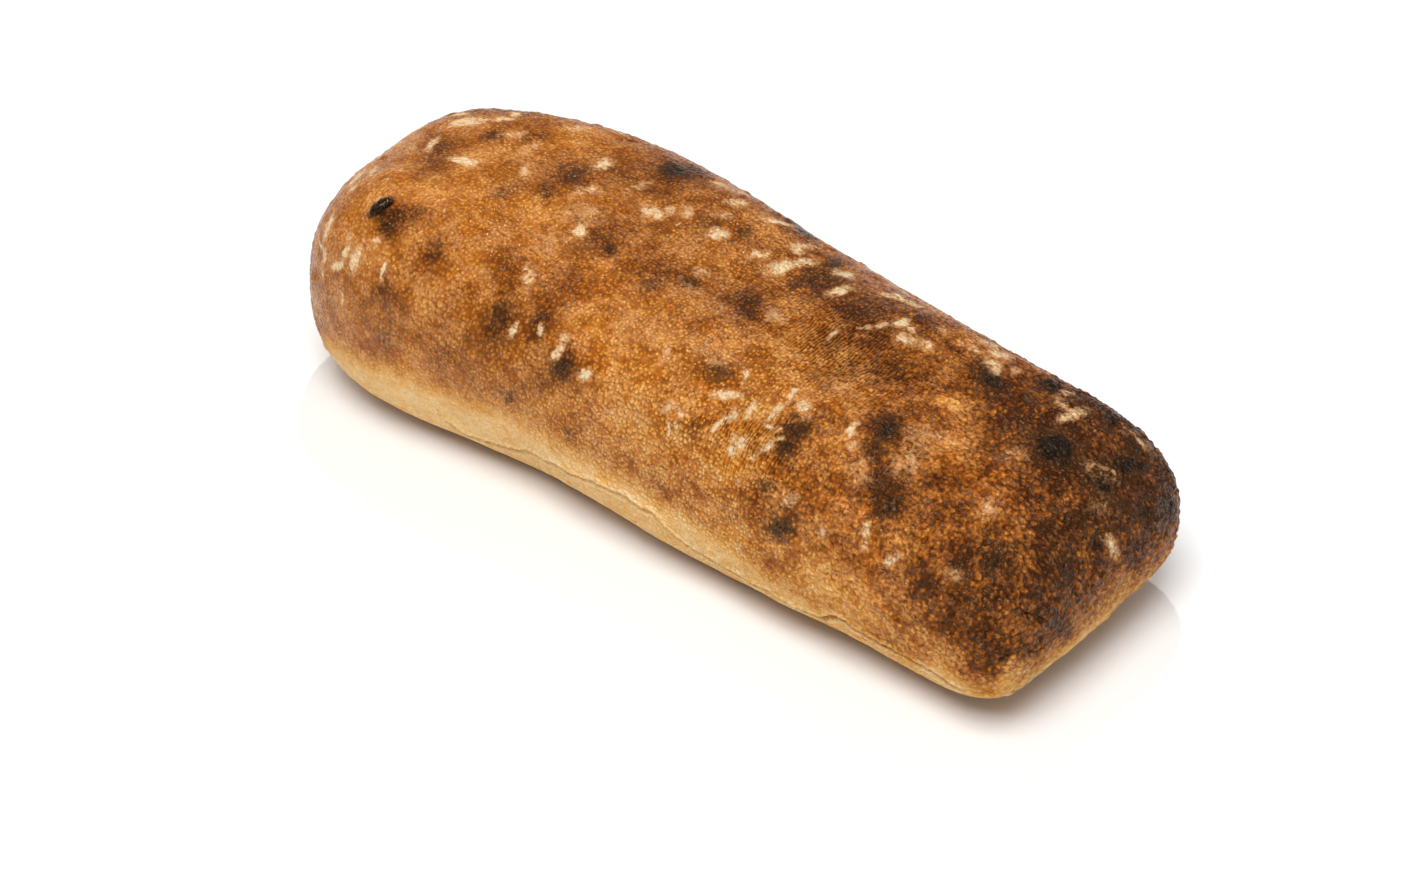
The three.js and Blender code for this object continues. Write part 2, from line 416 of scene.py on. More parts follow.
# %% Burnt spots: x, y, wide, high, tilt, strength
CHAR_SPOTS = [
    (1055, 449, 15, 12, -20, 1.5), (1064, 460, 9, 6, -30, 1.1), (1045, 432, 9, 6, 0, 0.5),
    (888, 428, 11, 11, -30, 0.95), (875, 449, 10, 11, -20, 0.8), (885, 487, 15, 14, 0, 0.7),
    (889, 505, 13, 9, 0, 0.82), (990, 380, 14, 8, -35, 0.95), (979, 371, 8, 5, -30, 0.6),
    (1004, 388, 11, 6, 0, 0.55), (1052, 386, 11, 7, -10, 0.95), (1111, 420, 10, 8, -40, 0.95),
    (1125, 465, 12, 8, -10, 1.1), (1141, 468, 7, 5, 0, 1.0), (1136, 450, 10, 7, -45, 0.8),
    (1103, 485, 8, 9, 0, 1.1), (1088, 478, 6, 6, 0, 0.95), (1168, 488, 7, 12, 0, 1.1),
    (1168, 506, 7, 9, 0, 1.0), (1148, 513, 9, 8, 0, 0.85), (993, 561, 8, 10, 30, 0.85),
    (990, 572, 4, 4, 0, 0.9), (1004, 570, 5, 5, 0, 0.75), (971, 556, 4, 4, 0, 0.85),
    (959, 556, 6, 11, 0, 0.5), (1068, 568, 7, 14, -10, 0.75), (1067, 548, 6, 8, 0, 0.6),
    (1060, 628, 8, 8, -40, 0.6), (1034, 597, 4, 3, 0, 0.8), (919, 583, 14, 11, -20, 0.55),
    (931, 606, 11, 8, 0, 0.4), (781, 528, 12, 9, 0, 0.82), (765, 487, 7, 9, -30, 0.6),
    (790, 506, 12, 9, 0, 0.4), (798, 431, 13, 8, 20, 0.9), (787, 447, 9, 9, 0, 0.78),
    (563, 365, 10, 9, 45, 0.9), (567, 350, 8, 8, 40, 0.5), (540, 322, 6, 9, -20, 0.62),
    (533, 336, 10, 5, 0, 0.4), (674, 171, 12, 7, -10, 0.95), (690, 170, 11, 6, -20, 0.65),
    (661, 165, 8, 5, 0, 0.4), (803, 231, 13, 5, -20, 0.9), (743, 232, 6, 6, 0, 0.5),
    (503, 312, 7, 10, -20, 0.66), (497, 325, 5, 5, 0, 0.5), (608, 249, 6, 6, 0, 0.8),
    (603, 240, 10, 8, 0, 0.4), (748, 302, 13, 9, -20, 0.55), (750, 316, 4, 4, 0, 0.65),
    (690, 283, 8, 5, 0, 0.75), (668, 275, 20, 8, -10, 0.42), (650, 284, 8, 5, 0, 0.5),
    (716, 371, 13, 10, 0, 0.5), (862, 313, 17, 8, 10, 0.5), (820, 277, 20, 8, 5, 0.48),
    (832, 265, 7, 4, 0, 0.65), (926, 321, 13, 7, -30, 0.5), (870, 343, 8, 4, 0, 0.4),
    (852, 364, 5, 4, 0, 0.5), (895, 372, 12, 6, 0, 0.4), (1030, 425, 8, 8, 0, 0.5),
    (1020, 483, 5, 4, 0, 0.55), (1041, 526, 4, 4, 0, 0.75), (1070, 520, 9, 6, 0, 0.5),
    (1098, 545, 5, 9, -10, 0.85), (388, 226, 6, 7, 0, 0.8), (385, 290, 8, 8, 0, 0.45),
    (494, 136, 9, 5, 0, 0.55), (437, 152, 10, 5, 35, 0.5), (434, 252, 6, 11, -20, 0.5),
    (503, 194, 14, 6, 20, 0.4), (576, 171, 15, 8, 0, 0.45), (546, 195, 7, 6, 0, 0.5),
    (444, 355, 11, 8, -30, 0.35), (508, 396, 9, 6, 0, 0.4), (384, 330, 6, 12, -10, 0.3),
    (572, 430, 7, 12, 0, 0.35), (693, 431, 9, 9, 0, 0.42), (530, 138, 13, 4, 0, 0.42),
    (414, 212, 14, 6, 5, 0.4), (396, 216, 9, 8, 0, 0.5), (1010, 410, 8, 8, 0, 0.3),
    (1090, 620, 9, 6, 40, 0.3), (705, 225, 12, 8, 0, 0.35), (795, 286, 8, 5, 0, 0.55),
    (1124, 505, 6, 7, 0, 0.7), (1116, 528, 6, 5, 0, 0.6), (1083, 516, 6, 5, 0, 0.6),
    (1030, 400, 9, 6, -20, 0.55), (1086, 402, 9, 5, -35, 0.6),
]
print(len(CHAR_SPOTS), "burnt spots")

# %% Floured patches: x, y, wide, high, tilt, strength
FLOUR_PATCHES = [
    (464, 162, 13, 4, -15, 1.0), (466, 122, 20, 4, 6, 0.9), (462, 114, 9, 3, 0, 0.7),
    (505, 120, 11, 2, 0, 0.9), (515, 115, 5, 3, 0, 0.8), (432, 145, 8, 3, 45, 0.8),
    (413, 148, 5, 3, 30, 0.6), (402, 143, 4, 2, 20, 0.8), (419, 129, 7, 3, 40, 0.7),
    (371, 162, 14, 3, 50, 0.8), (373, 171, 6, 3, 50, 0.7), (357, 177, 11, 3, 42, 0.9),
    (352, 190, 6, 3, 30, 0.8), (329, 226, 13, 2.5, 63, 0.9), (314, 241, 9, 2, 65, 0.7),
    (345, 253, 9, 3, 55, 0.9), (338, 264, 6, 5, 40, 0.9), (356, 258, 13, 4, 68, 1.0),
    (349, 238, 5, 3, 50, 0.7), (384, 270, 9, 2.5, 72, 0.9), (378, 241, 4, 4, 0, 0.8),
    (325, 257, 9, 1.6, 72, 0.7), (323, 275, 5, 1.6, 75, 0.6), (343, 297, 7, 1.6, 85, 0.8),
    (525, 172, 4, 7, -10, 0.6), (528, 277, 5, 12, 0, 0.75), (482, 276, 2, 8, -5, 0.5),
    (445, 210, 2, 8, -20, 0.5), (512, 135, 12, 3, 5, 0.55), (530, 148, 12, 4, 25, 0.45),
    (603, 165, 8, 5, 15, 0.95), (580, 231, 6, 5, 0, 1.0), (718, 234, 9, 5, 5, 1.0),
    (652, 213, 10, 5, -15, 0.8), (671, 211, 5, 4, 0, 0.7), (687, 213, 6, 5, 0, 0.6),
    (760, 254, 10, 4, 0, 0.75), (779, 267, 12, 5, 12, 1.0), (795, 249, 7, 4, -30, 0.75),
    (722, 186, 10, 3, -20, 0.7), (735, 191, 12, 4, -20, 0.6), (736, 203, 11, 3, -5, 0.7),
    (726, 215, 9, 3, 0, 0.5), (781, 223, 14, 2.5, -18, 0.8), (588, 191, 15, 4, 0, 0.55),
    (640, 186, 16, 4, 15, 0.45), (702, 273, 9, 5, 0, 0.5), (576, 128, 12, 3, -5, 0.6),
    (620, 133, 5, 2, -10, 0.9), (777, 316, 11, 7, 0, 0.45), (586, 375, 5, 5, 0, 1.0),
    (608, 412, 11, 8, 0, 0.4), (668, 407, 10, 6, 0, 0.5), (667, 350, 5, 10, 0, 0.45),
    (728, 395, 11, 4, 0, 0.95), (746, 375, 4, 4, 0, 0.75), (776, 411, 11, 3, 48, 1.0),
    (794, 395, 8, 2.5, 50, 0.8), (804, 409, 7, 9, 30, 0.75), (749, 411, 11, 3, 50, 0.9),
    (733, 414, 7, 4, 75, 0.85), (716, 426, 10, 2.5, 42, 0.9), (726, 419, 6, 2, 10, 0.8),
    (739, 446, 6, 4, 60, 1.0), (734, 438, 5, 3, 70, 0.9), (732, 451, 5, 3, 80, 0.85),
    (768, 447, 9, 3, 35, 0.95), (780, 440, 6, 2, 15, 0.6), (770, 426, 4, 3, 0, 0.85),
    (781, 431, 4, 2, 30, 0.7), (751, 459, 4, 2.5, -20, 0.8), (669, 427, 8, 2, 78, 0.9),
    (677, 428, 7, 1.8, 85, 0.85), (682, 413, 3, 5, 0, 0.75), (739, 478, 3, 8, -5, 0.5),
    (803, 263, 12, 4, 0, 0.75), (803, 246, 14, 3, -8, 0.6), (844, 275, 10, 4, -10, 0.8),
    (840, 292, 12, 3.5, 12, 0.85), (895, 298, 14, 2.5, -20, 0.75), (914, 305, 14, 3, -25, 0.7),
    (908, 290, 13, 2, -32, 0.6), (899, 323, 8, 4, 0, 1.0), (881, 324, 6, 3, 20, 0.8),
    (911, 329, 5, 3, 0, 0.7), (866, 327, 8, 2.5, 5, 0.5), (906, 340, 10, 5, -15, 0.8),
    (926, 346, 8, 4, -20, 0.65), (945, 331, 8, 4, -30, 0.4), (990, 345, 13, 3.5, -30, 0.75),
    (1001, 355, 12, 4, -15, 0.7), (973, 349, 10, 3, -28, 0.6), (994, 365, 9, 6, -45, 0.6),
    (833, 333, 8, 2, 40, 0.75), (1072, 415, 11, 5, 15, 0.8), (1060, 404, 8, 4, -50, 0.5),
    (1067, 393, 6, 3, 0, 0.55), (989, 511, 10, 8, 40, 0.5), (1113, 548, 5, 8, 20, 0.85),
    (1107, 539, 6, 4, 0, 0.5), (1138, 440, 15, 2, -52, 0.6), (1015, 370, 6, 4, 0, 0.5),
    (1112, 475, 10, 5, -40, 0.30), (909, 458, 7, 15, 0, 0.5), (855, 428, 7, 5, 45, 0.8),
    (853, 445, 6, 5, 0, 0.65), (865, 531, 4, 8, -10, 0.75), (866, 548, 4, 6, 0, 0.75),
    (893, 560, 7, 4, 25, 0.85), (790, 500, 9, 6, 30, 0.5), (824, 535, 4, 7, -10, 0.6),
    (514, 331, 4, 9, -15, 0.75), (541, 331, 3, 6, -10, 0.85), (557, 351, 9, 4, 50, 0.85),
    (564, 339, 8, 5, 50, 0.55), (707, 525, 5, 4, 0, 0.5), (955, 576, 8, 7, 0, 0.4),
    (905, 462, 18, 12, 20, 0.34),
    (930, 436, 22, 12, 0, 0.34), (1096, 470, 20, 8, -40, 0.26), (1010, 455, 16, 8, 0, 0.3),
    (1100, 505, 12, 14, 0, 0.22), (860, 470, 14, 18, 20, 0.3), (700, 300, 40, 14, -20, 0.3),
    (640, 330, 26, 16, -20, 0.28), (580, 215, 22, 10, 0, 0.3), (840, 390, 30, 12, -35, 0.3),
    (705, 350, 24, 12, -30, 0.32), (635, 415, 20, 12, -30, 0.3), (545, 240, 18, 12, 0, 0.28),
]
print(len(FLOUR_PATCHES), "floured patches")

# %% [markdown]
# ## Marks on the sides that face away
# The back and the ends of the loaf went through the same oven and the same flour. They get
# marks of the same kinds and sizes, scattered by a seeded draw over the points of the net
# that face away from the camera.

# %% Scatter marks over the hidden sides
BARELY_SEEN = 0.02
LOWEST_MARK = 12 * MM
chance = np.random.default_rng(7)
turned_away = facing @ np.array(TOWARDS_CAMERA) < BARELY_SEEN
hidden_places = np.flatnonzero(turned_away & (points[:, 2] > LOWEST_MARK))


def scattered(count, smallest, largest, longest_stretch, strength):
    """Ovals at random places of the hidden sides, some stretched along the loaf."""
    cover = np.zeros(len(points))
    for index in chance.choice(hidden_places, count, replace=False):
        size = chance.uniform(smallest, largest)
        stretch = chance.uniform(1, longest_stretch)
        offset = (ragged - points[index]) / size
        offset[:, 0] /= stretch
        fade = chance.uniform(*strength) * np.exp(-(offset ** 2).sum(axis=1))
        cover = np.maximum(cover, fade)
    return cover


print(len(hidden_places), "of", len(points), "points face away")

# %% [markdown]
# ## The three layers
# `bake` starts from the height above the base: pale by the rim, golden above. The rim is
# widest in the middle of the front side, where the loaf touched its neighbour in the oven.
# The marks and a drift of noise are then added.

# %% Sides, ends and the rim
RIM_HEIGHT = 5 * MM
RIM_RISE_FRONT = 4 * MM
RIM_RISE_MIDDLE = 11 * MM
RIM_RISE_END = 6 * MM
RIM_FADE = 12 * MM
RIM_FADE_END = 7 * MM
RIM_WAVE = 1.6 * MM
RIM_TEAR = 1.2 * MM

front_side = soft_step(-facing[:, 1], 0.05, 0.6)
end_wall = soft_step(facing[:, 0], 0.5, 0.9)
underneath = soft_step(-facing[:, 2], 0.55, 0.9)
middle_of_side = np.exp(-((length_share + 0.2) / 0.62) ** 4)
towards_square_end = soft_step(length_share, 0.35, 0.95)

rim_height = RIM_HEIGHT + RIM_RISE_END * end_wall
rim_height += front_side * (RIM_RISE_FRONT + RIM_RISE_MIDDLE * middle_of_side)
rim_height += RIM_WAVE * grain(points, size=16 * MM, seed=3)
rim_height += RIM_TEAR * grain(ragged, size=3.5 * MM, seed=19)
rim_fade = RIM_FADE + RIM_FADE_END * end_wall
above_rim = soft_step(points[:, 2], rim_height, rim_height + rim_fade)
lowest, highest = rim_height.min() / MM, rim_height.max() / MM
print("rim height, mm:", lowest.round(1), "to", highest.round(1))

# %% Bake of the golden top
GOLDEN_TOP = 0.53
DARKER_SQUARE_END = 0.16
# Each burnt spot lies in a browned halo, this much wider than the spot itself.
HALO = 2.2
HALO_BAKE = 0.24
BACK_PATCH_BAKE = 0.25

golden = GOLDEN_TOP + DARKER_SQUARE_END * towards_square_end
golden += 0.07 * grain(points, size=22 * MM, seed=4)
golden += 0.09 * grain(ragged, size=9 * MM, seed=5)
golden += drawn(DARKER_PATCHES)
golden += drawn([
    (x, y, HALO * wide, HALO * high, tilt, HALO_BAKE * strength)
    for x, y, wide, high, tilt, strength in CHAR_SPOTS
])
golden += BACK_PATCH_BAKE * scattered(
    26, smallest=6 * MM, largest=14 * MM, longest_stretch=2.5, strength=(0.4, 1.0)
)
print("top, before it meets the rim:", golden.min().round(2), "to", golden.max().round(2))

# %% Bake of the pale rim and the underside, and all of it joined
PALE_RIM = 0.06
BROWNER_END_WALL = 0.06
BROWNER_SQUARE_END = 0.11
UNDERSIDE = 0.30

pale = PALE_RIM + BROWNER_END_WALL * end_wall
pale += BROWNER_SQUARE_END * soft_step(length_share, 0.15, 0.65)
pale += 0.09 * grain(ragged, size=3 * MM, seed=20)

bake = pale + (golden - pale) * above_rim
bake -= drawn(LIGHTER_PATCHES) * (0.5 + 0.5 * above_rim)
browned_base = UNDERSIDE + 0.10 * grain(points, size=12 * MM, seed=6)
bake += underneath * (browned_base - bake)
bake = np.clip(bake, 0, 1)
print("bake from", bake.min().round(2), "to", bake.max().round(2))

# %% Char
# The lists give each mark's core; the noise in the material wears its edge down, so it is
# drawn larger here.
SPOT_SIZE = 1.5

char = drawn([
    (x, y, SPOT_SIZE * wide, SPOT_SIZE * high, tilt, strength)
    for x, y, wide, high, tilt, strength in CHAR_SPOTS
], softness=1.15)
char = np.maximum(char, scattered(
    38, smallest=1.4 * MM, largest=3.8 * MM, longest_stretch=1.6, strength=(0.5, 1.1)
))
print("burnt points:", int((char > 0.5).sum()))

# %% Flour
PATCH_SIZE = 1.3
FLOURED_BASE = 0.55

flour = drawn([
    (x, y, PATCH_SIZE * wide, PATCH_SIZE * high, tilt, strength)
    for x, y, wide, high, tilt, strength in FLOUR_PATCHES
], softness=1.2)
flour = np.maximum(flour, scattered(
    80, smallest=0.7 * MM, largest=2.5 * MM, longest_stretch=3.0, strength=(0.45, 0.95)
))
flour = np.maximum(flour, FLOURED_BASE * underneath)
print("floured points:", int((flour > 0.5).sum()))

# %% [markdown]
# ## Relief of the crust
# A crust is a film of dough that steam lifted and the oven set. Large swells are already in
# the solid. Here the net gets what is left: unevenness a finger could feel, pebbles, which
# are coarsest at the square end, round blisters, burst ones that left a small pit, and the
# burnt lump near the round end.

# %% Unevenness and coarse pebbles
PLUMP = 0.2 * MM
UNEVEN = ((14 * MM, 0.30 * MM, 11), (6 * MM, 0.17 * MM, 12), (2.6 * MM, 0.10 * MM, 13))
PEBBLES = ((1.9 * MM, 0.36 * MM), (1.35 * MM, 0.30 * MM))
WRINKLE = 3.0 * MM
WRINKLE_HEIGHT = 0.22 * MM


def pebbled(places, size):
    """Rounded cells of the given size: 1 at the middle of each, 0 between them."""
    distance = np.array([noise.voronoi(Vector(place) / size)[0][0] for place in places])
    return soft_step(0.75 - distance, 0, 0.65)


on_crust = soft_step(bake, 0.12, 0.4)
relief = np.full(len(points), PLUMP)
for size, height, seed in UNEVEN:
    relief += height * grain(points, size, seed)
# The pebbles of the round end are this share of those of the square end.
SHALLOWER = 0.3
coarse = SHALLOWER + (1 - SHALLOWER) * soft_step(length_share, 0.1, 0.8)
for size, height in PEBBLES:
    relief += height * coarse * on_crust * (pebbled(ragged, size) - 0.5)
winding = soft_step(np.abs(grain(ragged, WRINKLE, seed=14)), 0, 0.3)
relief += WRINKLE_HEIGHT * coarse * on_crust * (winding - 0.7)
print("relief, mm:", round(relief.min() / MM, 2), "to", round(relief.max() / MM, 2))

# %% Round blisters
BLISTER_COUNT = 1500
SMALLEST_BLISTER = 0.7 * MM
LARGEST_BLISTER = 1.9 * MM
LOWEST_BLISTER = 11 * MM
# The higher this power, the rarer the large blisters are among the small.
RARE_LARGE = 2.5
upper_crust = np.flatnonzero(points[:, 2] > LOWEST_BLISTER)
near_points = KDTree(len(points))
for index, place in enumerate(points):
    near_points.insert(place, index)
near_points.balance()

for index in chance.choice(upper_crust, BLISTER_COUNT, replace=False):
    radius = SMALLEST_BLISTER
    radius += (LARGEST_BLISTER - SMALLEST_BLISTER) * chance.random() ** RARE_LARGE
    height = chance.uniform(0.12, 0.26) * radius
    found = near_points.find_range(points[index], radius)
    members = np.array([member for _, member, _ in found])
    gaps = np.array([gap for _, _, gap in found])
    dome = height * (1 - (gaps / radius) ** 2)
    relief[members] = np.maximum(relief[members], relief[index] + dome)
print(BLISTER_COUNT, "blisters")

# %% Burst blisters
PIT_DEPTH = 0.8 * MM
PITS = [
    (544, 204, 4, 4, 0, 0.7), (541, 212, 3.5, 3.5, 0, 0.7), (528, 226, 4, 5, 0, 0.35),
    (609, 250, 4, 4, 0, 0.6), (631, 229, 3.5, 3.5, 0, 0.5), (706, 258, 3, 3, 0, 0.4),
    (750, 317, 4, 4, 0, 0.5), (951, 403, 4, 2, -20, 0.8), (948, 427, 4, 3.5, 0, 0.4),
    (911, 442, 3, 3, 0, 0.5), (971, 556, 4, 4, 0, 0.6), (990, 572, 4, 4, 0, 0.6),
    (1004, 570, 4, 4, 0, 0.5), (1034, 597, 3, 3, 0, 0.5), (546, 190, 3, 3, 0, 0.4),
]
relief -= PIT_DEPTH * drawn(PITS, softness=1.5)
print(len(PITS), "pits")

# %% The burnt lump, and a large burnt blister
BURNT_LUMP = (381, 208, 15, 5.5, 34, 1.0)
BURNT_FLANK = (388, 215, 10, 5, 34, 0.8)
BURNT_BLISTER = (1055, 449, 14, 11, -20, 1.0)
LUMP_RISE = 0.7 * MM
LUMP_GRAIN = 0.2 * MM
BLISTER_RISE = 0.7 * MM

lump = drawn([BURNT_LUMP], softness=2)
relief += LUMP_RISE * lump + LUMP_GRAIN * lump * grain(points, size=1.8 * MM, seed=15)
relief += BLISTER_RISE * drawn([BURNT_BLISTER], softness=1.5)
char = np.maximum(char, 1.6 * lump)
char = np.maximum(char, drawn([BURNT_FLANK]))
flour *= 1 - np.clip(2 * lump, 0, 1)
print("lump stands up, mm:", round(relief[lump > 0.5].max() / MM, 2))

# %% Cracks in the skin
SKIN_CRACKS = [
    [(1027, 613), (1034, 615), (1041, 621)],
    [(1041, 639), (1042, 647), (1036, 652), (1028, 652)],
    [(1000, 660), (1012, 655), (1020, 652)],
    [(620, 139), (632, 141)],
]
CRACK_WIDTH = 0.6 * MM
CRACK_DEPTH = 0.7 * MM

cracked = np.zeros(len(points))
for trail in SKIN_CRACKS:
    cracked = np.maximum(cracked, np.exp(-(beside_line(trail)[0] / CRACK_WIDTH) ** 2))
relief -= CRACK_DEPTH * cracked
char = np.maximum(char, 0.8 * cracked)
print(len(SKIN_CRACKS), "cracks")

# %% [markdown]
# ## The torn seam
# Low on the front side the risen crust pulled away from the skin that was set on the stone.
# It left the crust's edge standing a little proud of the tear, a fine groove under it, and
# a smooth pale lip below. Towards the square end the tear gapes, and brown crumb shows in
# it. The seam follows a line read from the loaf; on the hidden sides it wanders at the same
# height, and fades out in places.

# %% Where the seam runs
SEAM_TRAIL = [
    (449, 421), (466, 433), (490, 441), (515, 448), (531, 451), (545, 459), (560, 465),
    (580, 476), (600, 483), (612, 490), (625, 497), (640, 505), (655, 513), (672, 532),
    (683, 540), (695, 549), (712, 558), (730, 568), (750, 580), (770, 590), (790, 603),
    (808, 611), (822, 617), (838, 615), (846, 620), (853, 627), (868, 635), (880, 641),
    (900, 652), (925, 665), (946, 679), (962, 688),
]
HIDDEN_SEAM_HEIGHT = 13 * MM
HIDDEN_SEAM_WAVE = 1.5 * MM
WANDER = 0.6 * MM
FINE_WANDER = 0.5 * MM

gap, higher = beside_line(SEAM_TRAIL)
wander = WANDER * grain(points, size=5 * MM, seed=18)
wander += FINE_WANDER * grain(points, size=1.8 * MM, seed=21)
from_front_seam = np.copysign(gap, higher) + wander
hidden_seam = HIDDEN_SEAM_HEIGHT + HIDDEN_SEAM_WAVE * grain(points, size=20 * MM, seed=16)
from_hidden_seam = points[:, 2] - hidden_seam + wander
unseen = (1 - front_side) * soft_step(grain(points, size=30 * MM, seed=17), -0.2, 0.2)
print("points by the front seam:", int((abs(from_front_seam) < 1 * MM).sum()))

# %% Edge, groove and lip of the seam
EDGE_WIDTH = 0.7 * MM
EDGE_RISE = 0.6 * MM
GROOVE_DEPTH = 0.45 * MM
# Where the groove and the lip run below the seam, in edge widths.
GROOVE_BELOW = 0.4
LIP_BELOW = 2.2
FAINTER = 0.7


def seam_band(offset):
    """A soft band along the seam, on the front and more faintly where it can't be seen."""
    front = np.exp(-((from_front_seam - offset) / EDGE_WIDTH) ** 2)
    back = np.exp(-((from_hidden_seam - offset) / EDGE_WIDTH) ** 2)
    return np.maximum(front, FAINTER * unseen * back)


seam_edge = seam_band(EDGE_WIDTH)
seam = seam_band(-GROOVE_BELOW * EDGE_WIDTH)
lip = seam_band(-LIP_BELOW * EDGE_WIDTH)
# Towards the square end the tear gapes: a deeper groove, and more brown crumb in it.
gaping = soft_step(length_share, 0.42, 0.6)
relief += EDGE_RISE * (seam_edge + 0.8 * lip) - (1 + gaping) * GROOVE_DEPTH * seam
bake = np.clip(bake - (0.10 + 0.08 * gaping) * (seam_edge + lip), 0, 1)
seam *= 0.35 + 0.65 * gaping
print("seam points:", int((seam > 0.2).sum()))

# %% [markdown]
# ## Stretch lines
# Where the dough sprang up in the oven its skin was drawn out along the loaf, and fine
# parallel lines opened across it. They get a layer of their own for the material to read.

# %% Stretch marks
STRETCHED = [(840, 350, 75, 42, -35, 1.0), (748, 436, 48, 40, -35, 0.8)]
stretch = drawn(STRETCHED)
print("stretched points:", int((stretch > 0.5).sum()))

# %% Move the net by its relief, and keep the base flat
SMOOTHER_BASE = 0.8
relief *= 1 - SMOOTHER_BASE * underneath
moved = points + facing * relief[:, None]
moved[:, 2] = np.maximum(moved[:, 2], 0)
crust.data.vertices.foreach_set("co", moved.ravel())
crust.data.update()
moved_facing = facing_array(crust)


def keep_layer(name, values):
    layer = crust.data.attributes.new(name, "FLOAT", "POINT")
    layer.data.foreach_set("value", values.astype(np.float32))


keep_layer("bake", bake)
keep_layer("char", char)
keep_layer("flour", flour)
keep_layer("seam", seam)
keep_layer("stretch", stretch)
print("layers:", [layer.name for layer in crust.data.attributes if layer.domain == "POINT"])

# %% [markdown]
# ## Baked crust
# The finish is one baked skin, so it is one material. Browned starch and sugar give colours
# from pale dough to burnt black, and the set gluten film has a dull gloss with a sharp tiny
# glint on every pebble. Flour is a loose white powder: it is matt, and thin enough for the
# brown to show between its grains. The material is built up step by step below, and one
# small function adds each of its nodes.

# %% Start the crust's material
paint = bpy.data.materials.new("baked ciabatta crust")
paint.use_nodes = True
tree = paint.node_tree
shader = tree.nodes["Principled BSDF"]


def add(kind, inputs=(), output=0, **settings):
    """Adds a node with its settings, and hands back one of its outputs.

    The inputs come in the node's own order, or by name or number, each as a plain value or
    as the output of another node.
    """
    node = tree.nodes.new(kind)
    for name, value in settings.items():
        setattr(node, name, value)
    named = inputs if isinstance(inputs, dict) else dict(enumerate(inputs))
    for name, value in named.items():
        if isinstance(value, bpy.types.NodeSocket):
            tree.links.new(value, node.inputs[name])
        else:
            node.inputs[name].default_value = value
    return node.outputs[output]


MATHS = "ShaderNodeMath"
FADE = "ShaderNodeMapRange"
MIX = "ShaderNodeMix"
SOFTLY = {"interpolation_type": "SMOOTHSTEP"}
print("material:", paint.name)

# %% What the material reads: places on the loaf, the layers of the net, and noise
where = add("ShaderNodeTexCoord", output="Object")
length_along = add("ShaderNodeSeparateXYZ", [where], "X")
height_above_base = add("ShaderNodeSeparateXYZ", [where], "Z")
layers = {
    name: add("ShaderNodeAttribute", output="Fac", attribute_name=name)
    for name in ("bake", "char", "flour", "seam", "stretch")
}


def per_metre(size_mm):
    """The texture scale that gives one cell for each size_mm."""
    return 1 / (size_mm * MM)


def humps(size_mm, detail=2):
    """Noise around 0, with humps of the given size."""
    cloud = add("ShaderNodeTexNoise", {
        "Vector": where, "Scale": per_metre(size_mm), "Detail": detail, "Roughness": 0.6,
    }, "Fac")
    return add(MATHS, (cloud, 0.5), operation="SUBTRACT")


def weighed(patterns, start=0.0):
    """Patterns added to a start value, each times its own weight."""
    for pattern, weight in patterns:
        start = add(MATHS, (pattern, weight, start), operation="MULTIPLY_ADD")
    return start


print("layers read:", list(layers))

# %% [markdown]
# ## Pebbles
# Under a glass the crust is pebbled: steam raised the film between its gluten strands into round
# cells about a millimetre across. They are larger at the square end, where the crust baked
# hardest, and shallow wrinkles run between them. Cells of a bent grid give this shape, and the
# same pattern is used twice: for the colour, as painted shade that darkens the valleys and
# lightens the pebble tops, and for the relief that is too fine for the net.

# %% Pebbles and wrinkles
PEBBLE_MM = 1.15
BIG_PEBBLE_MM = 1.6
BIG_PEBBLES_START = 30 * MM
BIG_PEBBLES_FULL = 90 * MM
BEND_MM = 1.5
BEND_REACH = 0.7 * MM
WRINKLE_MM = 3.2
WRINKLE_SHARE = 0.18

bend = add("ShaderNodeTexNoise", {"Vector": where, "Scale": per_metre(BEND_MM)}, "Color")
bend = add("ShaderNodeVectorMath", {0: bend, "Scale": BEND_REACH}, operation="SCALE")
bent_place = add("ShaderNodeVectorMath", (where, bend), operation="ADD")


def cells(size_mm):
    """Round cells of the given size: 1 at the middle of each, 0 between them."""
    distance = add("ShaderNodeTexVoronoi", {
        "Vector": bent_place, "Scale": per_metre(size_mm), "Randomness": 0.85,
    }, "Distance")
    return add(FADE, (distance, 0.2, 0.7, 1.0, 0.0), **SOFTLY)


big_share = add(
    FADE, (length_along, BIG_PEBBLES_START, BIG_PEBBLES_FULL, 0.15, 0.65), **SOFTLY
)
round_cells = add(
    MIX, {0: big_share, 2: cells(PEBBLE_MM), 3: cells(BIG_PEBBLE_MM)}, data_type="FLOAT"
)
fold = add(MATHS, [humps(WRINKLE_MM, detail=1)], operation="ABSOLUTE")
wrinkles = add(FADE, (fold, 0.0, 0.13, 0.0, 1.0), **SOFTLY)
pebbles = weighed([(round_cells, 1 - WRINKLE_SHARE), (wrinkles, WRINKLE_SHARE)])
print("pebbles, mm:", PEBBLE_MM, "to", BIG_PEBBLE_MM)

# %% Stretch lines and the finest grain
STRETCH_LINE_MM = 0.9
FINE_GRAIN_MM = 0.7
# The wave texture packs this many waves into each unit of its scale.
WAVES_PER_UNIT = 20 / (2 * math.pi)

waves = add("ShaderNodeTexWave", {
    "Vector": where, "Scale": per_metre(STRETCH_LINE_MM) / WAVES_PER_UNIT,
    "Distortion": 7.0, "Detail": 3.0, "Detail Scale": 0.8,
}, "Fac", bands_direction="X")
waves = add(MATHS, (waves, 0.5), operation="SUBTRACT")
stretch_lines = add(MATHS, (waves, layers["stretch"]), operation="MULTIPLY")
fine_grain = humps(FINE_GRAIN_MM)
print("stretch lines every", STRETCH_LINE_MM, "mm")
